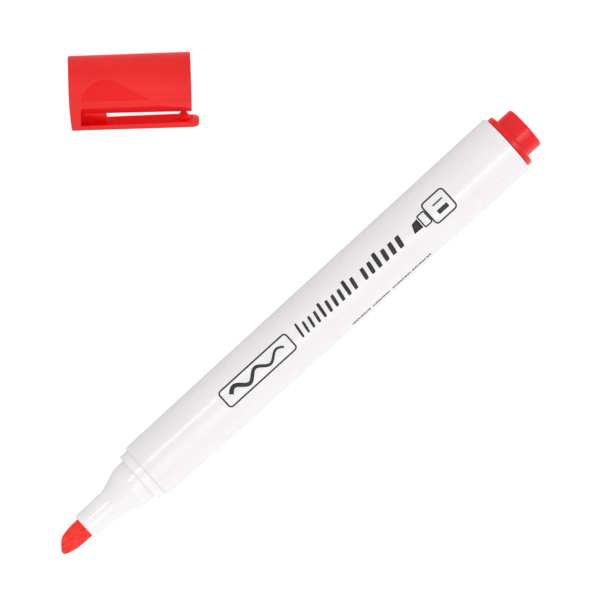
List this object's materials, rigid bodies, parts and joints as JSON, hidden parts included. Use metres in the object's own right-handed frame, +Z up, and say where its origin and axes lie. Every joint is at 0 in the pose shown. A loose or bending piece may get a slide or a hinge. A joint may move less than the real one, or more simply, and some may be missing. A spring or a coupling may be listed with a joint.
{
  "type": "whiteboard marker",
  "caption": "Round white whiteboard marker with a red chisel nib and a red end plug, its red clip cap pulled off and lying beside the barrel.",
  "frame": {"origin": "centre of the barrel's front edge, at the back of the ring", "axes": "+X along the marker's axis from the nib to the rear end, +Y towards the side where the cap lies, +Z up from the table"},
  "size_m": [0.1463, 0.0916, 0.0159],
  "materials": {
    "barrel_white": "gloss",
    "holder_white": "satin",
    "nib_red": "matte",
    "core_red": "matte",
    "film_clear": "gloss",
    "plug_red": "gloss",
    "cap_red": "satin",
    "liner_white": "matte",
    "print_black": "matte"
  },
  "bodies": {
    "marker": {"barrel": "barrel_white", "nib_holder": "holder_white", "nib": "nib_red", "ink_reservoir": "core_red", "reservoir_film": "film_clear", "end_plug": "plug_red"},
    "cap": {"cap": "cap_red", "cap_liner": "liner_white"},
    "clip": {"clip_arm": "cap_red"}
  },
  "joints": [
    {"name": "cap_swing", "type": "hinge", "parent": "marker", "child": "cap", "pos_m": [0.098, -0.1119, 0], "axis": [0.0052, 0.0073, 1], "range_deg": [0, 40.5]},
    {"name": "clip_flex", "type": "hinge", "parent": "cap", "child": "clip", "pos_m": [0.04779, 0.06562, -0.00542], "axis": [0.2725, 0.3107, -0.9106], "range_deg": [0, 6], "stiffness_Nm_per_rad": 0.6}
  ]
}
